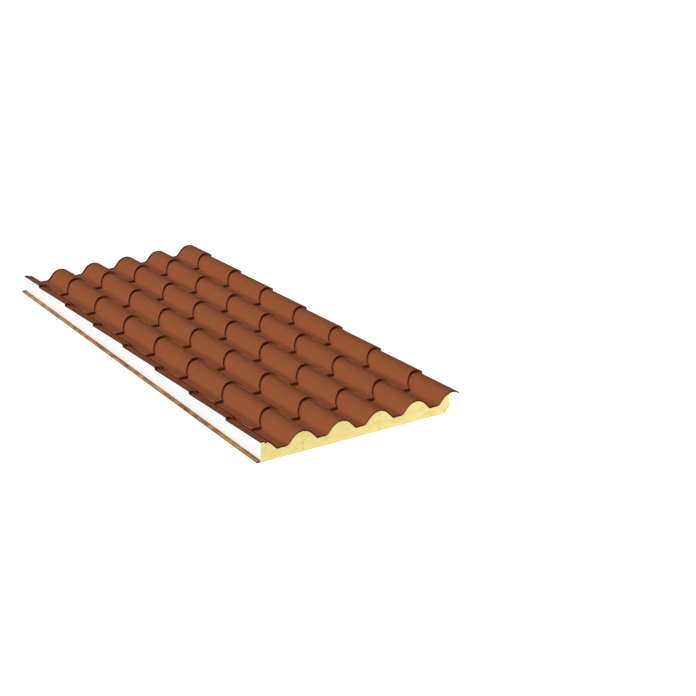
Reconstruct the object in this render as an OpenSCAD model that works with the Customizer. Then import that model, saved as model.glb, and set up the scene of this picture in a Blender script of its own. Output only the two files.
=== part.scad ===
// Roof sandwich panel, 40 mm nominal. A pressed steel sheet shaped as rows of pan-and-cover
// tiles, a polyurethane core and a flat lower sheet. One edge carries a low shelf and a tongue,
// the other a free wing and a relief, so that panels lap side by side.
// The origin is the centre of the base. +Y runs up the slope, from the eave end to the ridge end.

/* [Panel] */
// Length along the slope
panel_length = 2610; // [1200:10:4000]
// Thickness at the lowest place of a channel
channel_height = 39; // [30:1:120]

/* [Tiles] */
// Ribs from one lap to the next
rib_count = 5; // [3:1:6]
// Distance from rib to rib
rib_pitch = 200; // [180:1:260]
// Width of a rib at its foot
rib_width = 150; // [130:1:160]
// Height of a rib above the channel beside it
rib_height = 52.3; // [40:0.1:60]
// Radius over the top of a rib
crown_radius = 66; // [62:0.5:72]
// Length of one row of tiles
row_pitch = 350; // [300:5:420]
// Step down from one row to the next
step_height = 12.6; // [8:0.1:20]
// Length of the first row that is left at the eave, in the channels
first_row = 225; // [150:5:300]
// Radius of the round mouth that a tile has over each rib, in plan
mouth_radius = 78; // [76:0.5:88]

/* [Sheets] */
// Thickness of the tile sheet
outer_sheet = 0.5; // [0.4:0.05:1]
// Thickness of the lower sheet
lower_sheet_gauge = 0.4; // [0.3:0.05:1]
// Thickness of the foil on the side faces
foil_gauge = 0.3; // [0.2:0.05:1]

/* [Side laps] */
// Distance from the shelf's rib centre to the shelf side of the core
shelf_side = 12; // [6:1:20]
// How much lower the shelf lies than a full rib
lap_gap = 3; // [2:0.5:6]
// Distance of the shelf's drain groove from its rib centre
groove_offset = 17; // [14:1:22]
// Depth of the drain groove
groove_depth = 5; // [2:0.5:7]
// Distance from the last rib's centre to the wing side of the core, inwards
wing_side = 16; // [14:1:24]
// Reach of the wing beyond the last rib's centre
wing_reach = 38; // [25:1:45]
// Reach of the tongue beyond the shelf side
tongue_reach = 20; // [12:1:22]
// Height of the tongue
tongue_height = 9; // [6:0.5:10]
// Depth of the crease along the tongue's face
crease_depth = 1.5; // [0.5:0.25:3]
// Width of the relief that the next panel's tongue enters
relief_width = 27; // [26:1:40]
// Height of the relief
relief_height = 33; // [30:1:45]
// Radius of the bends at the relief's ends
relief_bend = 12; // [6:1:14]
// Height of the lower sheet's turned-up edge above the relief
upturn = 10; // [4:1:15]

/* [Hidden] */
// The rib's circle, the slope of its flanks and where they meet
crown_z = rib_height - crown_radius;
flank_angle = asin(crown_radius / norm([rib_width / 2, crown_z])) - atan2(-crown_z, rib_width / 2);
row_tilt = asin(step_height / row_pitch);
// Places across the panel, from the shelf's rib centre
last_rib = rib_count * rib_pitch;
shelf_face = -shelf_side;
wing_face = last_rib - wing_side;
wing_tip = last_rib + wing_reach;
tongue_tip = shelf_face - tongue_reach;
middle = (tongue_tip + wing_tip) / 2;
// Rows of tiles, the first of which starts before the eave end
row_count = ceil((panel_length - first_row) / row_pitch) + 1;
lip_z = channel_height + step_height;
// How far a cutting or hidden shape runs past what it has to reach
over = 5;
section_depth = lip_z + over;
row_span = row_pitch + mouth_radius + lap_gap + 4 * over;
// A height that clears every rib
clear_z = 2 * (channel_height + rib_height);

// A flank's distance from the rib's centre at height z, moved in by inset
function flank_x(z, inset) =
    (crown_radius - inset - (z - crown_z) * cos(flank_angle)) / sin(flank_angle);

// Points on an arc
function arc(centre, radius, from, to, steps) =
    [for (i = [0 : steps]) let (a = from + (to - from) * i / steps)
        centre + radius * [cos(a), sin(a)]];

// Direction of a line's side i, turned a quarter to the left
function normal(line, i) = let (d = line[i + 1] - line[i]) [-d.y, d.x] / norm(d);

// Step from point i of an open line to a line that runs 1 mm to its left, with mitred corners
function mitre(line, i) =
    let (last = len(line) - 2, both = normal(line, max(i - 1, 0)) + normal(line, min(i, last)))
    both * 2 / (both * both);

// A strip of sheet metal whose outer face is the line and whose thickness is on its left
module strip(line, gauge) {
    polygon([each line, for (i = [len(line) - 1 : -1 : 0]) line[i] + gauge * mitre(line, i)]);
}

// Carries a cross-section (x, z) along the panel, from y = 0 to the given length
module along(length) {
    translate([0, length, 0]) rotate([90, 0, 0]) linear_extrude(length) children();
}

// Cross-section of one rib and what lies under it. Its channel is at height 0. The flanks run
// up to where the crown's circle touches them, and their peak reaches into the circle.
module rib_section(inset) {
    top = crown_z + (crown_radius - inset) * cos(flank_angle);
    base = -section_depth;
    polygon([[-flank_x(base, inset), base], [flank_x(base, inset), base],
        [flank_x(top, inset), top], [0, (top + rib_height - inset) / 2], [-flank_x(top, inset), top]]);
    translate([0, crown_z]) intersection() {
        circle(crown_radius - inset, $fn = 96);
        translate([-crown_radius, top - crown_z]) square([2 * crown_radius, crown_radius]);
    }
}

// The V-shaped groove that drains the shelf, its walls moved out by inset
module groove_section(inset) {
    shelf_top = crown_z + sqrt((crown_radius - lap_gap) ^ 2 - groove_offset ^ 2);
    translate([groove_offset, shelf_top - groove_depth - inset * sqrt(2)]) rotate(45)
        square(2 * groove_depth + lap_gap);
}

// Cross-section of a row of tiles: channels, ribs, and the low rib of the shelf
module row_section(inset) {
    intersection() {
        union() {
            translate([shelf_face, -section_depth])
                square([wing_tip - shelf_face, section_depth - inset]);
            for (i = [1 : rib_count]) translate([i * rib_pitch, 0]) rib_section(inset);
            difference() {
                rib_section(lap_gap + inset);
                groove_section(inset);
            }
        }
        translate([shelf_face, -section_depth])
            square([wing_tip - shelf_face, section_depth + rib_height + over]);
    }
}

// Plan of a row: straight across the channels, a round mouth over each rib
module row_plan(inset) {
    difference() {
        translate([shelf_face - over, inset])
            square([wing_tip - shelf_face + 2 * over, row_span]);
        for (i = [0 : rib_count])
            polygon(arc([i * rib_pitch, 0], mouth_radius + inset + (i == 0 ? lap_gap : 0), 0, 180, 16));
    }
}

// Everything under the face of the tiles, with that face moved inwards by inset. Each row falls
// from its lip towards the ridge end and runs on a little under the next row.
module under_tiles(inset) {
    intersection() {
        union() for (row = [0 : row_count - 1])
            translate([0, first_row + (row - 1) * row_pitch, 0]) intersection() {
                translate([0, 0, lip_z]) rotate([-row_tilt, 0, 0])
                    translate([0, -over, 0]) along(row_span) row_section(inset);
                linear_extrude(clear_z) row_plan(inset);
            }
        translate([shelf_face, 0, lower_sheet_gauge])
            cube([wing_tip - shelf_face, panel_length, clear_z]);
    }
}

// Outer line of the lower sheet: over the tongue, down its creased face, along the base,
// round the relief and up the wing side
slant = atan2(relief_height, relief_width);
bend_run = relief_bend * tan(slant / 2);
bend_rise = relief_bend * tan((90 - slant) / 2);
lower_line = [
    [shelf_face + foil_gauge, tongue_height],
    [tongue_tip, tongue_height],
    [tongue_tip, tongue_height / 2 + crease_depth],
    [tongue_tip + crease_depth, tongue_height / 2],
    [tongue_tip, tongue_height / 2 - crease_depth],
    [tongue_tip, 0],
    each arc([wing_face - relief_width - bend_run, relief_bend], relief_bend, -90, slant - 90, 6),
    each arc([wing_face - relief_bend, relief_height + bend_rise], relief_bend, slant - 90, 0, 6),
    [wing_face, relief_height + upturn]];

// Cross-section of the core between the foils and on the lower sheet, open at the top
module core_section() {
    side = shelf_face + foil_gauge;
    polygon([[side, lower_sheet_gauge],
        for (i = [6 : len(lower_line) - 1]) lower_line[i] + lower_sheet_gauge * mitre(lower_line, i),
        [wing_face - lower_sheet_gauge, clear_z], [side, clear_z]]);
}

// Moves what is drawn from the shelf's rib centre to the centre of the base
module centred() {
    translate([-middle, -panel_length / 2, 0]) children();
}

module tile_sheet() {
    color("#98563a") centred() difference() {
        under_tiles(0);
        under_tiles(outer_sheet);
    }
}

module foam_core() {
    color("#eedd96") centred() intersection() {
        under_tiles(outer_sheet);
        along(panel_length) core_section();
    }
}

module lower_sheet() {
    color("#b5713c") centred() along(panel_length) strip(lower_line, lower_sheet_gauge);
}

// Foil on a side face of the core, from the given foot up to the tile sheet
module side_foil(face, foot) {
    centred() intersection() {
        under_tiles(outer_sheet);
        translate([face, 0, foot])
            cube([foil_gauge, panel_length, clear_z]);
    }
}

module shelf_side_foil() {
    color("#f4f4f0") side_foil(shelf_face, tongue_height);
}

module wing_side_foil() {
    color("#c9c9c2") side_foil(wing_face - lower_sheet_gauge, relief_height + upturn);
}

tile_sheet();
foam_core();
lower_sheet();
shelf_side_foil();
wing_side_foil();
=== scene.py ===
"""Looks of an insulated roof panel: a sheet pressed into pan-and-cover tiles over a foam core.

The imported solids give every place. Each visible piece is a surface worked out from the panel's
own sizes, laid exactly where the solid is that it stands for.
"""

import math

import bpy
import numpy as np
from bpy.props import FloatProperty, FloatVectorProperty, IntProperty, PointerProperty
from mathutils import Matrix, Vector


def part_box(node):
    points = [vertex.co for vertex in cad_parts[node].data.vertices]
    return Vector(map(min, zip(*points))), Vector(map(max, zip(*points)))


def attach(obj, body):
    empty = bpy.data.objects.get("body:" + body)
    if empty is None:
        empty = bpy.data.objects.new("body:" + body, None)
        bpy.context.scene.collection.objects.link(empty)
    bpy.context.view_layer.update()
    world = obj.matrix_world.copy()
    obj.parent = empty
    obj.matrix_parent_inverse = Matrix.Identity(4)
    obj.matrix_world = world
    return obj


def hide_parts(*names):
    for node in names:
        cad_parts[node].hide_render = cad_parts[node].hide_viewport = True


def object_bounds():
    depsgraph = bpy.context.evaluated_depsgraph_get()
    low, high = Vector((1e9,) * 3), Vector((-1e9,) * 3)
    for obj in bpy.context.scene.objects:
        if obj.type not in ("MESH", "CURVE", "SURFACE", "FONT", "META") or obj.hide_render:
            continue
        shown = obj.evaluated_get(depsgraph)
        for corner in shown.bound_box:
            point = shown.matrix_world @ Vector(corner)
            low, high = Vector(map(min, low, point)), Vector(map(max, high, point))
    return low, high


bl_info = {
    "name": "Tile-effect roof panel",
    "version": (1, 0, 0),
    "blender": (4, 5, 0),
    "location": "3D View > Sidebar > Roof panel",
    "description": "Makes the sheets, core and side foils of an insulated roof panel",
    "category": "Add Mesh",
}

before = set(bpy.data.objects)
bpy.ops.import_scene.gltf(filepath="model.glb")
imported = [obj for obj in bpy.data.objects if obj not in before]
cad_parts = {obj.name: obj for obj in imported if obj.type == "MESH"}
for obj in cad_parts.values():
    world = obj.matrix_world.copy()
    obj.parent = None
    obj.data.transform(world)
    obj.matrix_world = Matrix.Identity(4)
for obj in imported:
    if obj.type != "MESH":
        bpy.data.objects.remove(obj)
CAD_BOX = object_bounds()
SHEET_LOW, SHEET_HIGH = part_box("tile_sheet")
LOWER_LOW, LOWER_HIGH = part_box("lower_sheet")
SHELF_FOIL_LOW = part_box("shelf_side_foil")[0]
WING_FOIL_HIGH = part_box("wing_side_foil")[1]
PANEL_LENGTH = SHEET_HIGH.y - SHEET_LOW.y

# Waves that the saw leaves in the core's ends: waves a metre across and up, the seed of the
# random values, and the strength.
SAW_WAVES = [(55, 90, 3, 1), (160, 240, 8, 0.5)]


def linear(red, green, blue):
    """Scene-linear colour of an 8-bit screen colour, by the sRGB curve."""
    shares = [value / 255 for value in (red, green, blue)]
    return tuple(s / 12.92 if s <= 0.04045 else ((s + 0.055) / 1.055) ** 2.4 for s in shares)


def length(name, description, default):
    """A length that a user can set, in metres."""
    return FloatProperty(
        name=name, description=description, default=default, min=0, unit="LENGTH", precision=4
    )


def colour(name, description, *screen):
    """A colour that a user can set, given as it looks on a screen."""
    return FloatVectorProperty(
        name=name, description=description, default=linear(*screen), subtype="COLOR", min=0, max=1
    )


class TileSizes(bpy.types.PropertyGroup):
    """Sizes of the pressed sheet. Heights are over the panel's underside."""

    rib_count: IntProperty(name="Ribs", description="Ribs from one lap to the next", default=5)
    rib_pitch: length("Rib pitch", "Distance from rib to rib", 0.2)
    rib_width: length("Rib width", "Width of a rib at its foot", 0.15)
    rib_height: length("Rib height", "Height of a rib over its channel", 0.0523)
    crown_radius: length("Crown radius", "Radius over the top of a rib", 0.066)
    bend_radius: length("Bend radius", "Radius where a flank runs into the channel", 0.02)
    row_pitch: length("Row pitch", "Length of one row of tiles", 0.35)
    first_row: length("First row", "Part of the first row that is left at the eave", 0.225)
    step_height: length("Step", "Step down from one row to the next", 0.0126)
    channel_height: length("Channel height", "Thickness at the channel's lowest place", 0.039)
    mouth_radius: length("Mouth radius", "Radius of the round mouth over a rib, in plan", 0.078)
    corner_radius: length("Corner radius", "Radius in plan where a mouth meets the lip", 0.005)
    lip_radius: length("Lip radius", "Radius of the press bend at the top of a step", 0.003)
    foot_radius: length("Foot radius", "Radius of the press bend at the foot of a step", 0.0015)
    shelf_side: length("Shelf side", "Distance from the shelf's rib to its edge", 0.012)
    lap_gap: length("Lap gap", "How much lower the shelf's rib lies", 0.003)
    # The apron's dark line in front of a step is painted shade.
    apron: length("Apron", "How far the dark line reaches in front of a step", 0.010)
    groove_offset: length("Groove offset", "Drain groove's distance from the shelf's rib", 0.017)
    groove_depth: length("Groove depth", "Depth of the shelf's drain groove", 0.005)
    gauge: length("Gauge", "Thickness of the sheet", 0.0005)
    edge_fold: length("Eave fold", "Depth of the fold along the eave end", 0.0055)
    shelf_fold: length("Shelf fold", "Depth of the fold along the shelf's edge", 0.003)
    side_strip: length("Side strip", "Width in which steps straighten towards a side", 0.02)
    lip_strip: length("Lip strip", "Depth in which a mouth's shading turns into the lip's", 0.01)


class CoreSizes(bpy.types.PropertyGroup):
    """Sizes of the core and of what closes its sides and underside."""

    gauge: length("Gauge", "Thickness of the lower sheet", 0.0004)
    foil: length("Foil", "Thickness of the side foils", 0.0003)
    tongue_height: length("Tongue height", "Height of the tongue", 0.009)
    crease_depth: length("Crease depth", "Depth of the crease along the tongue", 0.0015)
    relief_width: length("Relief width", "Width of the relief for the next tongue", 0.027)
    relief_bend: length("Relief bend", "Radius of the bends at the relief's ends", 0.012)
    upturn: length("Upturn", "Height of the turned-up edge above the relief", 0.01)
    fold_radius: length("Fold radius", "Radius of the tongue's folds", 0.0012)
    setback: length("Setback", "How far the cut ends lie behind the sheet's edge", 0.0008)
    saw_relief: length("Saw relief", "Depth of the waves that the saw leaves", 0.0006)
    clearance: length("Clearance", "Space between the tile sheet and the core", 0.0001)
    core_drop: length("Core drop", "How much lower the core's shelf edge lies", 0.00045)
    foil_space: length("Foil space", "How much deeper than the core a foil ends", 0.0002)
    foil_drop: length("Foil drop", "How much lower the shelf foil's top lies", 0.0009)


class Finishes(bpy.types.PropertyGroup):
    """Colours of the panel's finishes."""

    tile: colour("Tile", "Terracotta coating", 150, 87, 53)
    tile_red: colour("Tile, red", "Redder patches of the coating", 155, 81, 56)
    tile_olive: colour("Tile, olive", "Browner patches of the coating", 144, 91, 49)
    # Painted shade: this dark colour stands for shadow at the steps, the folds, the eave and ridge
    # rims, and along the shelf's groove and edge.
    shade: colour("Shade", "Coating on the steps and folds and along the shelf", 60, 15, 0)
    foam: colour("Foam", "Cut face of the core", 240, 224, 152)
    # Painted light: the core grows paler towards the wing, as if lit more there.
    foam_painted_light: colour("Foam, pale", "Cut face of the core towards the wing", 254, 240, 167)
    foam_deep: colour("Foam, deep", "Denser, darker streaks of the core", 230, 204, 124)
    foam_knit: colour("Foam, knit", "Lines where the foam of two nozzles met", 214, 192, 112)
    wood_light: colour("Wood, light", "Light streaks of the lower sheet", 206, 160, 96)
    wood_mid: colour("Wood, middle", "Main colour of the lower sheet", 171, 117, 61)
    wood_dark: colour("Wood, dark", "Dark streaks of the lower sheet", 100, 50, 18)
    # Painted shade on the tongue, towards the core and on the lower half of its face; the sheet's
    # whole inner face also takes this colour.
    wood_shade: colour("Wood, shade", "Lower sheet in its folds and inside", 84, 62, 20)
    foil: colour("Foil", "Paper face of the side foils", 244, 245, 246)


class StageSettings(bpy.types.PropertyGroup):
    """The viewer's place and the light."""

    azimuth: FloatProperty(
        name="Azimuth", description="Direction of view from +Y", default=math.radians(32.7),
        subtype="ANGLE",
    )
    elevation: FloatProperty(
        name="Elevation", description="Height of the view", default=math.radians(21.44),
        subtype="ANGLE",
    )
    distance: length("Distance", "From the aim to the camera", 8.261)
    aim: FloatVectorProperty(
        name="Aim", description="Point the camera looks at", default=(0.5237, -0.3782, 0.0),
        unit="LENGTH",
    )
    lens: FloatProperty(name="Lens", description="Focal length", default=84.7, unit="CAMERA")
    sky: FloatProperty(name="Sky", description="Strength of the light all round", default=0.065)
    shelf_lamp: FloatProperty(
        name="Shelf-side lamp", description="Strength of the lamp beside the shelf", default=3.03
    )
    eave_lamp: FloatProperty(
        name="Eave lamp", description="Strength of the lamp in front of the eave end", default=1.15
    )
    wing_lamp: FloatProperty(
        name="Wing-side lamp", description="Strength of the lamp beside the wing", default=2.8
    )
    ridge_lamp: FloatProperty(
        name="Ridge lamp", description="Strength of the lamp behind the ridge end", default=1.8
    )
    lamp_spread: FloatProperty(
        name="Lamp spread", description="Width of a lamp in the sky", default=math.radians(20),
        subtype="ANGLE",
    )
    floor_lift: FloatProperty(
        name="Floor lift", description="What lifts the floor to white for the viewer", default=0.6
    )
    floor_reach: length("Floor reach", "From the origin to the floor's edges", 30)
    floor_gap: length("Floor gap", "From the floor up to the panel's underside", 0.0003)


# ---------------------------------------------------------------- meshes


def grid_quads(lines, columns):
    """Faces between the points of a grid that is numbered line by line. Seen from the side that
    column direction x line direction points to, each runs anticlockwise."""
    first = np.arange(lines - 1)[:, None] * columns + np.arange(columns - 1)
    return np.stack([first, first + 1, first + columns + 1, first + columns], -1).reshape(-1, 4)


def grid_border(lines, columns):
    """Numbers of the points round a grid's border, anticlockwise."""
    number = np.arange(lines * columns).reshape(lines, columns)
    return np.concatenate([number[0, :-1], number[:-1, -1], number[-1, :0:-1], number[:0:-1, 0]])


def unit(vectors, tiny=1e-12):
    """Vectors over their own lengths. One that is almost nothing stays almost nothing."""
    return vectors / np.maximum(np.linalg.norm(vectors, axis=-1, keepdims=True), tiny)


def grid_normals(points, least=1e-9):
    """Unit normals of a grid: column direction x line direction, from central differences. Where
    that product is under the least, the two directions run together, and the point takes the
    normals of the lines beside it."""
    crossed = np.cross(np.gradient(points, axis=1), np.gradient(points, axis=0))
    normals = unit(crossed)
    beside = unit(np.roll(normals, 1, axis=0) + np.roll(normals, -1, axis=0))
    return np.where(np.linalg.norm(crossed, axis=2, keepdims=True) < least, beside, normals)


def rim_quads(border, offset):
    """Faces that join a border to its copy whose numbers are higher by the offset."""
    after = np.roll(border, -1)
    return np.stack([border + offset, after + offset, after, border], -1)


def sheet_of(outer, gauge):
    """Points and faces of a sheet: the grid, its copy moved inwards along the normals by the
    gauge, and a rim between them."""
    lines, columns = outer.shape[:2]
    inner = outer - gauge * grid_normals(outer)
    quads = grid_quads(lines, columns)
    count = lines * columns
    faces = [quads, (quads + count)[:, ::-1], rim_quads(grid_border(lines, columns), count)]
    return np.concatenate([outer.reshape(-1, 3), inner.reshape(-1, 3)]), np.concatenate(faces)


def wrap_faces(lines, columns):
    """Faces of a grid that is wrapped over a body: the grid itself, a base that joins its last
    line to its first, and a side at each end of its lines."""
    number = np.arange(lines * columns).reshape(lines, columns)
    base = np.stack([number[-1, :-1], number[-1, 1:], number[0, 1:], number[0, :-1]], -1)
    faces = np.concatenate([grid_quads(lines, columns), base]).tolist()
    return faces + [number[:, 0].tolist(), number[::-1, -1].tolist()]


def new_piece(name, points, faces, node, finish, marks=None, crease=35):
    """Makes a mesh piece that stands for a solid. Marks are named values, one for each point.
    Edges that turn by more than the crease angle, in degrees, stay sharp."""
    mesh = bpy.data.meshes.new(name)
    mesh.from_pydata(points.tolist(), [], [list(face) for face in faces])
    for mark, values in (marks or {}).items():
        layer = mesh.attributes.new(mark, "FLOAT", "POINT")
        layer.data.foreach_set("value", np.ascontiguousarray(values, dtype=np.float32))
    mesh.shade_smooth()
    mesh.set_sharp_from_angle(angle=math.radians(crease))
    mesh.materials.append(finish)
    mesh.validate()
    piece = bpy.data.objects.new(name, mesh)
    bpy.context.scene.collection.objects.link(piece)
    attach(piece, "root")
    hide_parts(node)
    return piece


def quarter(steps):
    """Angles of a quarter turn, evenly spaced."""
    return np.linspace(0, math.pi / 2, steps + 1)


def lattice_noise(across, along, seed, size=64):
    """Smooth random waves from -1 to 1: random values on a unit lattice, which repeats after
    its size, blended between its points by 3t^2 - 2t^3."""
    table = np.random.default_rng(seed).uniform(-1, 1, (size, size))
    column = np.floor(across).astype(int)
    line = np.floor(along).astype(int)
    u = across - column
    v = along - line
    u = u * u * (3 - 2 * u)
    v = v * v * (3 - 2 * v)
    corner = [table[(column + i) % size, (line + j) % size] for j in (0, 1) for i in (0, 1)]
    near = corner[0] * (1 - u) + corner[1] * u
    far = corner[2] * (1 - u) + corner[3] * u
    return near * (1 - v) + far * v


# ---------------------------------------------------------------- shape of the tiles


def flank_turn(tiles):
    """Angle between a flank's normal and the vertical. The flank touches the crown's circle and
    meets the channel at half the rib's width, so the angle is that of the tangent from there."""
    centre = tiles.rib_height - tiles.crown_radius
    half = tiles.rib_width / 2
    return math.asin(tiles.crown_radius / math.hypot(half, centre)) - math.atan2(-centre, half)


def rib_profile(distance, radius, tiles):
    """Height of a rib over its channel, at a distance from its middle: the crown's circle, then
    the straight flank that touches it, then an arc that touches both flank and channel."""
    turn = flank_turn(tiles)
    centre = tiles.rib_height - tiles.crown_radius
    bend = tiles.bend_radius
    foot = (radius + centre * math.cos(turn)) / math.sin(turn) + bend * math.tan(turn / 2)
    crown = centre + np.sqrt(np.maximum(radius**2 - distance**2, 0))
    flank = centre + (radius - distance * math.sin(turn)) / math.cos(turn)
    arc = bend - np.sqrt(np.maximum(bend**2 - (distance - foot) ** 2, 0))
    zones = [distance < radius * math.sin(turn), distance < foot - bend * math.sin(turn),
             distance < foot]
    return np.select(zones, [crown, flank, arc], 0.0)


def section_height(x, tiles):
    """Height of the tiles' face over the channel. The shelf's rib is lower by the lap gap, and
    its drain groove is a V whose bottom is eased: the root of x^2 + e^2, less e."""
    rib = np.clip(np.rint(x / tiles.rib_pitch), 0, tiles.rib_count)
    radius = tiles.crown_radius - tiles.lap_gap * (rib < 1)
    height = rib_profile(np.abs(x - rib * tiles.rib_pitch), radius, tiles)
    shelf_radius = tiles.crown_radius - tiles.lap_gap
    shelf_top = tiles.rib_height - tiles.crown_radius
    shelf_top += math.sqrt(shelf_radius**2 - tiles.groove_offset**2)
    ease = tiles.foot_radius
    away = np.hypot(x - tiles.groove_offset, ease) - ease
    groove = shelf_top - tiles.groove_depth + away
    return np.where(rib < 1, np.minimum(height, groove), height)


def row_height(x, y, row, tiles):
    """Height of a row's face: its lip, less its fall towards the ridge, plus the section. Row 0
    starts before the eave end."""
    slope = math.asin(tiles.step_height / tiles.row_pitch)
    lip = tiles.channel_height + tiles.step_height
    start = tiles.first_row + (row - 1) * tiles.row_pitch
    return lip - (y - start) * math.tan(slope) + section_height(x, tiles) / math.cos(slope)


def lip_line(low, high, tiles, mouth_steps=36, corner_steps=4, straight_steps=4):
    """Plan of a row's lip from x = low to x = high: points (x, y) and unit normals into the row.

    A mouth is an arc of radius R about its rib. A corner of radius q joins it to the straight
    lip over the channel: its centre is q from that lip and R + q from the rib's middle.
    """
    points = []
    normals = []
    q = tiles.corner_radius

    def add(centre_x, centre_y, radius, angles, side):
        """Adds an arc: centre + radius x ray. The side is 1 where rays point into the row, and
        -1 where they point out of it."""
        ray = np.stack([np.cos(angles), np.sin(angles)], -1)
        points.append(np.array([centre_x, centre_y]) + radius * ray)
        normals.append(side * ray)

    for rib in range(tiles.rib_count + 1):
        middle = rib * tiles.rib_pitch
        radius = tiles.mouth_radius + (tiles.lap_gap if rib == 0 else 0)
        sweep = math.asin(q / (radius + q))
        reach = math.sqrt((radius + q) ** 2 - q**2)
        start = math.pi - sweep if rib > 0 else math.acos(low / radius)
        end = sweep if middle + reach < high else math.acos((high - middle) / radius)
        angles = np.linspace(start, end, mouth_steps + 1)
        if rib == 0:
            # The groove is narrow, so it gets columns of its own.
            groove = tiles.groove_offset + tiles.groove_depth * np.linspace(-1.6, 1.6, 17)
            angles = np.sort(np.concatenate([angles, np.arccos(groove / radius)]))[::-1]
        if rib > 0:
            add(middle - reach, q, q, np.linspace(1.5 * math.pi, 2 * math.pi - sweep,
                                                  corner_steps + 1)[:-1], -1)
        add(middle, 0, radius, angles, 1)
        if middle + reach < high:
            add(middle + reach, q, q, np.linspace(math.pi + sweep, 1.5 * math.pi,
                                                  corner_steps + 1)[1:], -1)
            after = tiles.rib_pitch - math.sqrt((tiles.mouth_radius + q) ** 2 - q**2)
            x = np.linspace(middle + reach, middle + after, straight_steps + 1)[1:-1]
            points.append(np.stack([x, 0 * x], -1))
            normals.append(np.stack([0 * x, 0 * x + 1], -1))
    return np.concatenate(points), np.concatenate(normals)


def step_path(tiles, bend_steps=4):
    """Section through the step at a lip: distances into the upper row and heights over the lower
    one. A level apron comes first, then a quarter circle turns up at the foot, a wall rises,
    another quarter circle turns over at the lip, and the path ends just behind it."""
    turn = quarter(bend_steps)
    foot = tiles.foot_radius
    lip = tiles.lip_radius
    apron = tiles.apron * np.array([-1, -0.5]) - foot
    wall = foot + (tiles.step_height - lip - foot) * np.array([0.2, 0.6])
    behind = [0.9 * tiles.corner_radius]
    reach = np.concatenate([apron, foot * (np.sin(turn) - 1), 0 * wall, lip * (1 - np.cos(turn)),
                            behind])
    height = np.concatenate([0 * apron, foot * (1 - np.cos(turn)), wall,
                             tiles.step_height - lip * (1 - np.sin(turn)), [tiles.step_height]])
    return reach, height


def step_shades(reach, height, plan, normal, tiles, steep=0.6):
    """Painted shade across the step, a line for each point of the path. The wall is shaded
    dark, with the apron in front of a mouth and with the lip's bend over the channel. Where a
    mouth faces the shelf side the foot and the lip are shaded dark, with the wall between them
    left light. Where it faces that side steeply, the dark foot climbs the wall and the dark lip
    fades."""
    over_channel = np.clip(1.5 - plan[:, 1] / tiles.lip_strip, 0, 1)
    facing = np.clip(normal[:, 0] / steep, 0, 1) * (1 - over_channel)
    lip_foot = tiles.step_height - tiles.lip_radius
    rise = (height - lip_foot) / tiles.lip_radius
    clear = np.clip(1.6 * rise - 0.6, 0, 1)[:, None] * (1 - over_channel)
    apron = (reach < -tiles.foot_radius)[:, None]
    wall = np.where(apron, 0.5 * (1 - over_channel), (1 - clear) * (1 - 0.1 * over_channel))
    share = (height[:, None] - tiles.foot_radius) / (lip_foot - tiles.foot_radius)
    turned = np.clip((normal[:, 0] - steep) / 0.35, 0, 1)
    foot_line = np.clip(1.2 * turned - 2 * share, 0.15 * (1 - turned), 1)
    lines = np.maximum(foot_line, 0.7 * np.clip(2 * share - 0.5 - 4 * turned, 0, 1))
    return (wall * (1 - facing) + lines * facing) * (reach > reach[0])[:, None]


def pressed_face(low, high, tiles, row_steps=7):
    """Grid of points on the tiles' face from x = low to x = high. Lines of the grid run across
    the panel. Also gives each point's painted shade, and how far each line stands over the
    row in front of it.

    Each column crosses a step square to the lip in plan, then runs straight to the foot of the
    next step, so the grid is warped round the mouths: p = a + t (b - a) inside a row. Towards
    both sides of the panel the columns straighten, so that they don't cross its edges. Lines
    close to the eave and the ridge end keep the painted shade of their rims narrow.
    """
    plan, normal = lip_line(low, high, tiles)
    reach, height = step_path(tiles)
    crossing = step_shades(reach, height, plan, normal, tiles)[:-1]
    to_edge = np.minimum(plan[:, 0] - plan[0, 0], plan[-1, 0] - plan[:, 0])
    normal[:, 0] *= np.clip(to_edge / tiles.side_strip, 0, 1)
    steps = int((PANEL_LENGTH - tiles.first_row - tiles.mouth_radius) / tiles.row_pitch) + 1
    away = (plan + reach[0] * normal) * [1, 0]
    lines = []
    shades = []
    rises = []
    shares = np.linspace(0, 1, row_steps + 1)[:-1, None, None]
    for row in range(steps + 1):
        lip = np.array([0, tiles.first_row + row * tiles.row_pitch])
        last = row == steps
        near = away * [1, 0] + [0, PANEL_LENGTH] if last else plan + reach[0] * normal + lip
        inside = away + shares * (near - away)
        starts = [away + [0, share * tiles.apron] for share in (0.5, 1.2)] if row == 0 else []
        ends = [near - [0, share * tiles.apron] for share in (2, 1.6, 0)] if last else []
        inside = np.stack([inside[0], *starts, *inside[1:], *ends])
        lines.append(np.dstack([inside, row_height(inside[..., 0], inside[..., 1], row, tiles)]))
        shades.append(np.zeros(inside.shape[:2]))
        rises.append(np.zeros(len(inside)))
        if not last:
            across = plan + reach[:-1, None, None] * normal + lip
            foot = row_height(across[..., 0], across[..., 1], row, tiles)
            lines.append(np.dstack([across, foot + height[:-1, None]]))
            shades.append(crossing)
            rises.append(height[:-1])
            away = plan + reach[-1] * normal + lip
    # Painted shade: the ridge end's last lines are shaded fully dark.
    shades[-1][-2:] = 1
    return np.concatenate(lines), np.concatenate(shades), np.concatenate(rises)


def shelf_shades(x, tiles):
    """Painted shade across the shelf: a little on its top, and most along the drain groove's far
    side and in the outer third of the shelf's edge. It fades down the flank."""
    stops = tiles.groove_offset * np.array([1.15, 1.35, 1.75, 2, 2.2, 3])
    top = np.interp(x, stops, [0.25, 0.95, 0.95, 0.4, 0.4, 0])
    strip = 0.3 * tiles.shelf_side
    edge = np.clip((strip - tiles.shelf_side - x) / strip, 0, 1)
    return np.maximum(top, 0.85 * edge)


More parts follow.
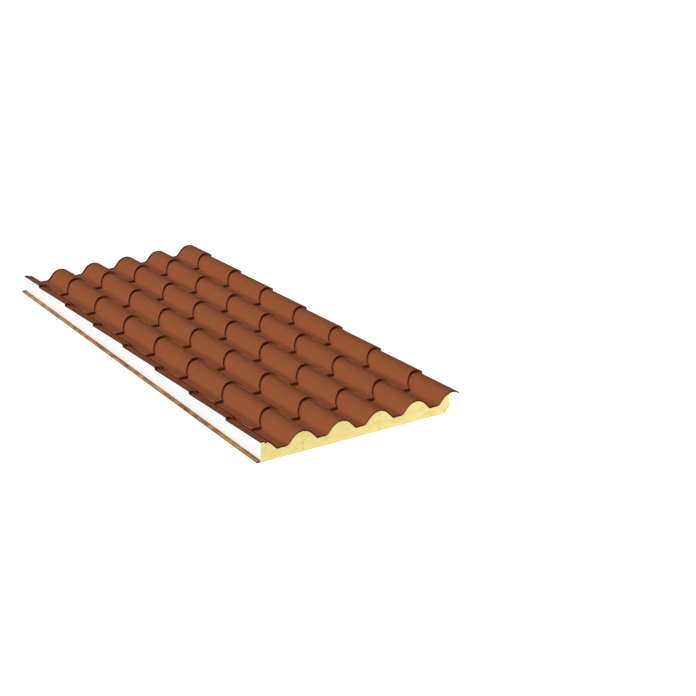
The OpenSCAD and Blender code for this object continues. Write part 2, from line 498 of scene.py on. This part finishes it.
def in_place(points, tiles):
    """Moves points from the shelf's rib and the eave end to the panel's place in the frame."""
    return points + np.array([SHELF_FOIL_LOW.x + tiles.shelf_side, SHEET_LOW.y, LOWER_LOW.z])


def panel_edges(tiles):
    """Places across the panel from the shelf's rib: shelf side, wing side and wing tip."""
    rib = SHELF_FOIL_LOW.x + tiles.shelf_side
    return -tiles.shelf_side, WING_FOIL_HIGH.x - rib, SHEET_HIGH.x - rib


def with_folded_edges(face, shades, rises, tiles, closed=0.98):
    """Adds lines at the eave end and columns at the shelf side that turn the sheet down: a
    quarter circle, then a straight drop. The eave's drop grows with the height of the section
    and where it falls away from the shelf. Its rim gets painted shade, most in the channels and
    where the section falls away, and every drop is painted fully dark, as shade. The shelf's
    drop also closes the ends of the steps, by a share just under 1, so that no two points fall
    together."""
    arc = quarter(3)[:-1]
    inwards = np.append(0, tiles.foot_radius * (1 - np.cos(arc)))
    bend = tiles.foot_radius * (1 - np.sin(arc))
    count = len(inwards)
    slope = np.clip(np.gradient(face[0, :, 2], face[0, :, 0]), -1, 1)
    share = (face[0, :, 2] - face[0, :, 2].min()) / tiles.rib_height
    eave = tiles.edge_fold * (0.55 + 0.3 * share - 0.8 * np.minimum(slope, 0))
    rim = np.clip((0.8 - 1.2 * slope) * (1 - 2 * share), 0.15, 1)
    # Painted shade along the eave's rim.
    shades[:2] = np.maximum(shades[:2], rim)
    drops = np.zeros((face.shape[0] + count, face.shape[1] + count))
    drops[0] = np.pad(eave, (count, 0), mode="edge")
    drops[1:count] = bend[:, None]
    drops[:, 0] = np.maximum(drops[:, 0], tiles.shelf_fold + closed * np.pad(rises, (count, 0)))
    drops[0, 0] += 0.1 * tiles.shelf_fold
    drops[:, 1:count] = np.maximum(drops[:, 1:count], bend)
    grid = np.pad(face, ((count, 0), (count, 0), (0, 0)), mode="edge")
    grid[:count, :, 1] += inwards[:, None]
    grid[count, :, 1] += tiles.foot_radius
    grid[:, :count, 0] += inwards
    grid[:, count, 0] += tiles.foot_radius
    grid[..., 2] -= drops
    folded = np.pad(shades, ((count, 0), (count, 0)), mode="edge")
    # Painted shade: every point that drops is shaded fully dark.
    return grid, np.maximum(folded, drops > 0)


# ---------------------------------------------------------------- shape of the core and its covers


def lower_line(tiles, core):
    """Outer line of the lower sheet: over the tongue, down its creased face, along the base,
    round the relief and up the wing side."""
    shelf, wing, _ = panel_edges(tiles)
    tip = LOWER_LOW.x - SHELF_FOIL_LOW.x + shelf
    relief_height = LOWER_HIGH.z - LOWER_LOW.z - core.upturn
    half = core.tongue_height / 2
    tongue = [[shelf + core.foil, 2 * half], [tip, 2 * half], [tip, half + core.crease_depth],
              [tip + core.crease_depth, half], [tip, half - core.crease_depth], [tip, 0]]
    slant = math.atan2(relief_height, core.relief_width)
    bend = core.relief_bend
    run = wing - core.relief_width - bend * math.tan(slant / 2)
    rise = relief_height + bend * math.tan(math.pi / 4 - slant / 2)

    def bend_points(centre, start, end):
        """Points of an arc of the relief's bend radius about the centre."""
        angles = np.linspace(start, end, 9)
        return np.array(centre) + bend * np.stack([np.cos(angles), np.sin(angles)], -1)

    first = bend_points([run, bend], -math.pi / 2, slant - math.pi / 2)
    second = bend_points([wing - bend, rise], slant - math.pi / 2, 0)
    top = [[wing, relief_height + core.upturn]]
    folded = eased(np.array(tongue + first[:1].tolist()), core.fold_radius)
    return np.concatenate([folded, first[1:], second, top])


def tongue_shades(line, core):
    """Painted shade on the lower sheet along its line: on top of the tongue towards the core, and
    on the lower half of the tongue's face."""
    tip = line[:, 0].min()
    joint = line[0, 0]
    on_top = line[:, 1] > 0.8 * core.tongue_height
    below = (line[:, 0] < tip + 2 * core.crease_depth) & (line[:, 1] < 0.5 * core.tongue_height)
    return 0.5 * on_top * (line[:, 0] <= joint) * (line[:, 0] - tip) / (joint - tip) + 0.7 * below


def eased(line, radius, steps=4, room_share=0.45):
    """Rounds the inner corners of an open line: at a corner that turns by a, an arc of the
    radius r touches both sides, r tan(a / 2) from the corner. On a short side the arc shrinks
    to keep to its share of the room."""
    points = [line[:1]]
    for before, corner, after in zip(line[:-2], line[1:-1], line[2:]):
        into = (corner - before) / np.linalg.norm(corner - before)
        out = (after - corner) / np.linalg.norm(after - corner)
        turn = math.atan2(into[0] * out[1] - into[1] * out[0], into @ out)
        room = room_share * min(np.linalg.norm(corner - before), np.linalg.norm(after - corner))
        reach = min(radius * math.tan(abs(turn) / 2), room)
        bend = reach / math.tan(abs(turn) / 2)
        centre = corner - reach * into + math.copysign(bend, turn) * np.array([-into[1], into[0]])
        spoke = corner - reach * into - centre
        angle = np.linspace(0, turn, steps + 1)[:, None]
        square = np.array([-spoke[1], spoke[0]])
        points.append(centre + np.cos(angle) * spoke + np.sin(angle) * square)
    points.append(line[-1:])
    return np.concatenate(points)


def core_foot(x, tiles, core):
    """Height of the core's underside: the lower sheet's line moved inwards by its gauge, from
    the base up over the relief at the wing."""
    line = lower_line(tiles, core)
    start = np.argmax(line[:, 0] > 0)
    base = line[start - 1:-1]
    grid = np.stack([np.insert(base, 1, 0.0, axis=1)] * 2)
    grid[1, :, 1] = 1
    inner = grid[0] + core.gauge * grid_normals(grid)[0]
    return np.interp(x, inner[:, 0], inner[:, 2])


def cut_plate(outline, outer_x, inner_x):
    """Points and faces of a thin plate in the plane of y and z, cut to an outline that runs
    anticlockwise as seen from its outer face."""
    count = len(outline)
    sides = [np.column_stack([np.full(count, x), outline]) for x in (outer_x, inner_x)]
    ring = np.arange(count)
    rim = rim_quads(ring, count).tolist()
    return np.concatenate(sides), [ring.tolist(), (ring[::-1] + count).tolist()] + rim


# ---------------------------------------------------------------- finishes


class Wire:
    """An output in a finish's node tree. Arithmetic on it adds Math nodes."""

    def __init__(self, finish, socket):
        self.finish = finish
        self.socket = socket

    def maths(self, operation, first, second):
        """The result of a Math node on two wires or numbers."""
        return self.finish.node("Math", {"operation": operation}, {0: first, 1: second})

    def __add__(self, other):
        return self.maths("ADD", self, other)

    def __radd__(self, other):
        return self.maths("ADD", other, self)

    def __sub__(self, other):
        return self.maths("SUBTRACT", self, other)

    def __rsub__(self, other):
        return self.maths("SUBTRACT", other, self)

    def __mul__(self, other):
        return self.maths("MULTIPLY", self, other)

    def __rmul__(self, other):
        return self.maths("MULTIPLY", other, self)


class Finish:
    """A material, or the world, while it is put together."""

    def __init__(self, name, material=None):
        self.material = material or bpy.data.materials.new(name)
        self.material.use_nodes = True
        self.tree = self.material.node_tree
        self.tree.nodes.clear()

    def node(self, kind, settings=None, inputs=None, output=0):
        """Adds a node, makes its settings, then sets or links its sockets, and gives one of its
        outputs. The stops of a ramp are (place, colour) pairs."""
        node = self.tree.nodes.new("ShaderNode" + kind)
        for name, value in (settings or {}).items():
            if name == "stops":
                for index, (place, shade) in enumerate(value):
                    stops = node.color_ramp.elements
                    stop = stops[index] if index < len(stops) else stops.new(place)
                    stop.position = place
                    stop.color = (*shade, 1)
            else:
                setattr(node, name, value)
        for name, value in (inputs or {}).items():
            socket = node.inputs[name]
            if isinstance(value, Wire):
                self.tree.links.new(value.socket, socket)
            elif socket.type == "RGBA" and len(value) == 3:
                socket.default_value = (*value, 1)
            else:
                socket.default_value = value
        return Wire(self, node.outputs[output]) if node.outputs else None

    def place(self, scale=(1, 1, 1)):
        """The point on the object, stretched by a scale."""
        point = self.node("TexCoord", output="Object")
        return self.node("Mapping", {}, {"Vector": point, "Scale": scale})

    def mark(self, name):
        """A value that the mesh carries."""
        return self.node("Attribute", {"attribute_name": name}, output="Fac")

    def noise(self, point, scale, detail=3, roughness=0.5):
        """Random waves from 0 to 1. The scale is in waves a metre."""
        return self.node("TexNoise", {}, {"Vector": point, "Scale": scale, "Detail": detail,
                                          "Roughness": roughness})

    def ease(self, value, low, high):
        """0 below low, 1 above high, and a smooth rise between."""
        limits = {"Value": value, "From Min": low, "From Max": high}
        return self.node("MapRange", {"interpolation_type": "SMOOTHSTEP"}, limits)

    def mix(self, share, first, second):
        """Blends two colours: first + share x (second - first)."""
        return self.node("Mix", {"data_type": "RGBA"}, {0: share, 6: first, 7: second}, 2)

    def bump(self, height, distance, strength):
        """A normal that follows height x distance, in metres, by a share of strength."""
        inputs = {"Height": height, "Distance": distance, "Strength": strength}
        return self.node("Bump", {}, inputs)

    def in_view(self):
        """1 where the viewer looks, also in gloss or through glass, and 0 for light on its way
        to a surface."""
        kinds = ("Camera", "Glossy", "Transmission")
        camera, glossy, clear = [self.node("LightPath", output=f"Is {kind} Ray") for kind in kinds]
        return camera + glossy + clear

    def done(self, **sockets):
        """Closes the finish with the main shader. Socket names are given with underscores."""
        named = {name.replace("_", " "): value for name, value in sockets.items()}
        shader = self.node("BsdfPrincipled", {}, named)
        self.node("OutputMaterial", {}, {"Surface": shader})
        return self.material


def tile_coating(shades):
    """Matt terracotta coil coating: soft red and brown patches, painted shade at the steps, folds
    and shelf, and a fine grain."""
    finish = Finish("terracotta_coating")
    point = finish.place()
    red = finish.ease(finish.noise(point, 14, 4), 0.45, 0.7)
    olive = finish.ease(finish.noise(finish.place((1.3, 0.8, 1)), 11, 4), 0.5, 0.75)
    base = finish.mix(red * 0.6, shades.tile, shades.tile_red)
    base = finish.mix(olive * 0.6, base, shades.tile_olive)
    # Painted shade: the shade mark blends the dark shade colour into the coating.
    base = finish.mix(finish.mark("shade"), base, shades.shade)
    grain = finish.noise(point, 1500, 2)
    return finish.done(
        Base_Color=base,
        Roughness=finish.noise(point, 60, 3) * 0.14 + 0.66,
        Specular_IOR_Level=0.01,
        Normal=finish.bump(grain, 0.00015, 0.5),
    )


def cut_foam(shades, first_knit, knit_spacing):
    """Sawn rigid foam: pale yellow, a little streaked, with fine open cells and a few pits, which
    are painted darker, as shade. Painted light makes it paler towards the wing. It is denser in
    broken upright lines, where the foam of two nozzles met: their distance across the panel runs
    back and forth between 0 and half of the spacing."""
    finish = Finish("cut_foam")
    point = finish.place()
    streak = finish.ease(finish.noise(finish.place((14, 14, 34)), 1, 5, 0.6), 0.42, 0.75)
    across = finish.node("SeparateXYZ", {}, {"Vector": point})
    # Painted light: the foam grows paler towards the wing.
    pale = finish.mix(finish.ease(across, -0.3, 0.6), shades.foam, shades.foam_painted_light)
    base = finish.mix(streak * 0.7, pale, shades.foam_deep)
    from_knit = across.maths("PINGPONG", across - first_knit, knit_spacing / 2)
    broken = finish.ease(finish.noise(point, 60, 2), 0.35, 0.6)
    knit = (1 - finish.ease(from_knit, 0.001, 0.009)) * broken
    base = finish.mix(knit * 0.7, base, shades.foam_knit)
    cell = finish.node("TexVoronoi", {"feature": "F1"}, {"Vector": point, "Scale": 900})
    pit = finish.node("TexVoronoi", {"feature": "F1"}, {"Vector": point, "Scale": 38})
    pit = 1 - finish.ease(pit, 0.06, 0.14)
    # Painted shade: the pits are darkened, as shade in the hollows.
    base = finish.mix(pit * 0.6, base, [0.75 * value for value in shades.foam_deep])
    height = cell * 0.4 - pit * 2.0
    return finish.done(
        Base_Color=base,
        Roughness=0.9,
        Specular_IOR_Level=0.2,
        Normal=finish.bump(height, 0.0006, 0.6),
    )


def wood_coating(shades):
    """Wood-effect coil coating of the lower sheet: long light and dark streaks along the panel."""
    finish = Finish("wood_effect_coating")
    broad = finish.noise(finish.place((90, 3, 90)), 1, 4, 0.6)
    fine = finish.noise(finish.place((600, 9, 600)), 1, 3, 0.6)
    tone = finish.noise(finish.place((40, 18, 40)), 1, 2)
    grain = broad * 0.4 + fine * 0.2 + tone * 0.5
    stops = [(0.42, shades.wood_dark), (0.54, shades.wood_mid), (0.68, shades.wood_light)]
    base = finish.node("ValToRGB", {"stops": stops}, {"Fac": grain})
    # Painted shade: the shade mark blends in the wood_shade colour.
    base = finish.mix(finish.mark("shade"), base, shades.wood_shade)
    return finish.done(
        Base_Color=base,
        Roughness=fine * 0.15 + 0.45,
        Specular_IOR_Level=0.12,
        Normal=finish.bump(fine, 0.0001, 0.4),
    )


def paper_foil(shades):
    """White paper face of the side foils, with faint fibres."""
    finish = Finish("paper_foil")
    point = finish.place()
    fibre = finish.noise(finish.place((1, 0.3, 1)), 700, 4, 0.6)
    crinkle = finish.noise(point, 45, 3)
    base = finish.mix(fibre * 0.08, shades.foil, [0.9 * value for value in shades.foil])
    return finish.done(
        Base_Color=base,
        Roughness=0.62,
        Specular_IOR_Level=0.1,
        Normal=finish.bump(crinkle * 0.7 + fibre * 0.3, 0.0006, 0.35),
    )


# ---------------------------------------------------------------- operators


class PANEL_OT_tile_sheet(bpy.types.Operator):
    """Presses the sheet of tiles"""

    bl_idname = "roof_panel.tile_sheet"
    bl_label = "Tile sheet"

    def execute(self, context):
        """The pressed grid, turned down at the eave and the shelf, gets its gauge inwards."""
        tiles = context.scene.roof_tiles
        shelf, _, tip = panel_edges(tiles)
        face, shades, rises = pressed_face(shelf, tip, tiles)
        shades = np.maximum(shades, shelf_shades(face[..., 0], tiles))
        face, shades = with_folded_edges(face, shades, rises, tiles)
        points, faces = sheet_of(in_place(face, tiles), tiles.gauge)
        marks = {"shade": np.tile(shades.ravel(), 2)}
        finish = tile_coating(context.scene.roof_finishes)
        new_piece("pressed_tile_sheet", points, faces, "tile_sheet", finish, marks)
        return {"FINISHED"}


class PANEL_OT_foam_core(bpy.types.Operator):
    """Fills the panel with foam, sawn off square at both ends"""

    bl_idname = "roof_panel.foam_core"
    bl_label = "Foam core"

    def end_face(self, edge, y, side, tiles, core, lines=19):
        """A sawn end as a grid from the core's foot up to the given top edge. It swells in and
        out by lattice noise, which fades over the lowest and the highest sixth."""
        foot = core_foot(edge[:, 0], tiles, core)
        share = np.linspace(0, 1, lines)[:, None]
        z = foot + share * (edge[:, 2] - foot)
        x = np.broadcast_to(edge[:, 0], z.shape)
        waves = [strength * lattice_noise(x * across, z * up, seed)
                 for across, up, seed, strength in SAW_WAVES]
        fade = np.clip(6 * share, 0, 1) * np.clip(6 * (1 - share), 0, 1)
        inwards = core.setback + core.saw_relief * (0.5 + 0.3 * sum(waves)) * fade
        return np.dstack([x, y + side * inwards, z])

    def execute(self, context):
        """The core's top is the tiles' face moved inwards by the gauge and the clearance. One
        grid runs up the eave's end, over the top and down the ridge end."""
        tiles = context.scene.roof_tiles
        core = context.scene.roof_core
        shelf, wing, _ = panel_edges(tiles)
        inset = 2 * core.foil
        face = pressed_face(shelf + tiles.gauge + inset, wing - core.gauge - inset, tiles)[0]
        top = face - (tiles.gauge + core.clearance) * grid_normals(face)
        top[:, [0, -1], 0] = face[:, [0, -1], 0]
        top[:, 0, 2] -= core.core_drop
        top[0, :, 1] = core.setback
        top[-1, :, 1] = PANEL_LENGTH - core.setback
        eave = self.end_face(top[0], 0, 1, tiles, core)
        ridge = self.end_face(top[-1], PANEL_LENGTH, -1, tiles, core)[::-1]
        wrap = np.concatenate([eave[:-1], top, ridge[1:]])
        faces = wrap_faces(*wrap.shape[:2])
        points = in_place(wrap.reshape(-1, 3), tiles)
        first_knit = SHELF_FOIL_LOW.x + tiles.shelf_side + tiles.rib_pitch
        finish = cut_foam(context.scene.roof_finishes, first_knit, 2 * tiles.rib_pitch)
        new_piece("foam_core_cut", points, faces, "foam_core", finish)
        return {"FINISHED"}


class PANEL_OT_lower_sheet(bpy.types.Operator):
    """Folds the lower sheet round the tongue, the base and the relief"""

    bl_idname = "roof_panel.lower_sheet"
    bl_label = "Lower sheet"

    def execute(self, context):
        """The section's line, repeated along the panel, gets its gauge inwards."""
        tiles = context.scene.roof_tiles
        core = context.scene.roof_core
        line = lower_line(tiles, core)
        stations = np.linspace(PANEL_LENGTH, 0, 9)[:, None]
        x = np.broadcast_to(line[:, 0], (len(stations), len(line)))
        z = np.broadcast_to(line[:, 1], x.shape)
        grid = np.dstack([x, np.broadcast_to(stations, x.shape), z])
        points, faces = sheet_of(in_place(grid, tiles), core.gauge)
        shades = np.broadcast_to(tongue_shades(line, core), x.shape).ravel()
        # Painted shade on the tongue; the inner face takes the wood_shade colour all over.
        marks = {"shade": np.concatenate([shades, np.ones(len(shades))])}
        finish = wood_coating(context.scene.roof_finishes)
        new_piece("lower_sheet_folded", points, faces, "lower_sheet", finish, marks)
        return {"FINISHED"}


class PANEL_OT_side_foils(bpy.types.Operator):
    """Covers both sides of the core with plain foil"""

    bl_idname = "roof_panel.side_foils"
    bl_label = "Side foils"

    def execute(self, context):
        """Each foil is a plate cut to the line where the tile sheet's inner face meets the side.
        It ends a little below that face, and short of it at the eave and the ridge end."""
        tiles = context.scene.roof_tiles
        core = context.scene.roof_core
        shelf, wing, _ = panel_edges(tiles)
        face = pressed_face(shelf, wing, tiles)[0]
        tuck = tiles.gauge + core.clearance
        under = face - (tuck + core.foil_space) * grid_normals(face)
        under[:, 0, 2] -= core.foil_drop
        finish = paper_foil(context.scene.roof_finishes)
        sides = [("shelf", 0, shelf + tuck, 1, core.tongue_height, "shelf_side_foil"),
                 ("wing", -1, wing - core.gauge, -1, LOWER_HIGH.z - LOWER_LOW.z,
                  "wing_side_foil")]
        for name, column, x, inwards, foot, node in sides:
            top = under[:, column, 1:]
            outline = np.concatenate([[[0, foot]], top, [[PANEL_LENGTH, foot]]])
            outline[:, 0] = np.clip(outline[:, 0], tuck, PANEL_LENGTH - tuck)
            outline = outline if inwards > 0 else outline[::-1]
            points, faces = cut_plate(outline, x, x + inwards * core.foil)
            new_piece(f"{name}_foil_strip", in_place(points, tiles), faces, node, finish)
        return {"FINISHED"}


class PANEL_OT_stage(bpy.types.Operator):
    """Sets the camera, the soft light and the pale floor"""

    bl_idname = "roof_panel.stage"
    bl_label = "Stage"

    def execute(self, context):
        """Sets the plain view transform, then makes the camera, the lamps, the sky and the
        floor."""
        scene = context.scene
        settings = scene.roof_stage
        scene.view_settings.view_transform = "Standard"
        self.add_camera(scene, settings)
        self.add_lamps(scene, settings)
        self.add_sky(scene, settings)
        self.add_floor(scene, settings)
        return {"FINISHED"}

    def add_camera(self, scene, settings):
        """The camera stands at the aim + distance x the direction back along its view."""
        data = bpy.data.cameras.new("view")
        data.lens = settings.lens
        camera = bpy.data.objects.new("view", data)
        scene.collection.objects.link(camera)
        level = math.cos(settings.elevation)
        back = Vector((-math.sin(settings.azimuth) * level, -math.cos(settings.azimuth) * level,
                       math.sin(settings.elevation)))
        camera.location = Vector(settings.aim) + settings.distance * back
        camera.rotation_euler = (math.pi / 2 - settings.elevation, 0, -settings.azimuth)
        scene.camera = camera

    def add_lamps(self, scene, settings):
        """A strong lamp beside the shelf shapes the ribs. Others light the wing side, from low
        down, and the ridge end. These are fills, without a shadow. The lamp in front of the eave
        end casts one."""
        lamps = [("shelf_fill", settings.shelf_lamp, (-0.78, -0.36, 0.51), False),
                 ("wing_fill", settings.wing_lamp, (0.92, 0.1, -0.38), False),
                 ("ridge_fill", settings.ridge_lamp, (0.1, 0.99, 0.05), False),
                 ("eave_key", settings.eave_lamp, (0.05, -0.99, 0.08), True)]
        for name, strength, toward, shadow in lamps:
            data = bpy.data.lights.new(name, "SUN")
            data.energy = strength
            data.angle = settings.lamp_spread
            data.use_shadow = shadow
            lamp = bpy.data.objects.new(name, data)
            scene.collection.objects.link(lamp)
            lamp.rotation_euler = Vector(toward).to_track_quat("Z", "Y").to_euler()

    def add_sky(self, scene, settings):
        """White for the viewer, and weak light on the panel: sky + (1 - sky) x in view."""
        world = bpy.data.worlds.new("studio")
        scene.world = world
        sky = Finish("studio", world)
        strength = sky.in_view() * (1 - settings.sky) + settings.sky
        light = sky.node("Background", {}, {"Color": (1, 1, 1), "Strength": strength})
        sky.node("OutputWorld", {}, {"Surface": light})

    def add_floor(self, scene, settings):
        """A matt square just below the panel. For the viewer alone it glows by the lift, so it
        looks white and still shows the panel's shadow."""
        half = settings.floor_reach
        z = CAD_BOX[0].z - settings.floor_gap
        mesh = bpy.data.meshes.new("floor")
        corners = [(-half, -half, z), (half, -half, z), (half, half, z), (-half, half, z)]
        mesh.from_pydata(corners, [], [(0, 1, 2, 3)])
        floor = bpy.data.objects.new("floor", mesh)
        scene.collection.objects.link(floor)
        paint = Finish("floor_paint")
        matt = paint.node("BsdfDiffuse", {}, {"Color": (0.8, 0.8, 0.8)})
        lift = paint.node("Emission", {}, {"Strength": paint.in_view() * settings.floor_lift})
        both = paint.node("AddShader", {}, {0: matt, 1: lift})
        paint.node("OutputMaterial", {}, {"Surface": both})
        mesh.materials.append(paint.material)


PIECES = [PANEL_OT_tile_sheet, PANEL_OT_foam_core, PANEL_OT_lower_sheet, PANEL_OT_side_foils,
          PANEL_OT_stage]
GROUPS = {"roof_tiles": TileSizes, "roof_core": CoreSizes, "roof_finishes": Finishes,
          "roof_stage": StageSettings}


class PANEL_PT_sidebar(bpy.types.Panel):
    """Lists the pieces of the roof panel and their sizes"""

    bl_idname = "PANEL_PT_sidebar"
    bl_label = "Roof panel"
    bl_space_type = "VIEW_3D"
    bl_region_type = "UI"
    bl_category = "Roof panel"

    def draw(self, context):
        """A button for each piece, then each group's values."""
        for piece in PIECES:
            self.layout.operator(piece.bl_idname)
        for group in GROUPS:
            settings = getattr(context.scene, group)
            for name in settings.bl_rna.properties.keys():
                if name not in ("rna_type", "name"):
                    self.layout.prop(settings, name)


def register():
    """Makes the operators, the sidebar and the groups of values known to Blender."""
    for kind in (*GROUPS.values(), *PIECES, PANEL_PT_sidebar):
        bpy.utils.register_class(kind)
    for name, kind in GROUPS.items():
        setattr(bpy.types.Scene, name, PointerProperty(type=kind))


def unregister():
    """Takes them away again."""
    for name in GROUPS:
        delattr(bpy.types.Scene, name)
    for kind in (PANEL_PT_sidebar, *reversed(PIECES), *GROUPS.values()):
        bpy.utils.unregister_class(kind)


def main():
    """Makes every piece and the stage."""
    register()
    bpy.ops.roof_panel.tile_sheet()
    bpy.ops.roof_panel.foam_core()
    bpy.ops.roof_panel.lower_sheet()
    bpy.ops.roof_panel.side_foils()
    bpy.ops.roof_panel.stage()


if __name__ == "__main__":
    main()
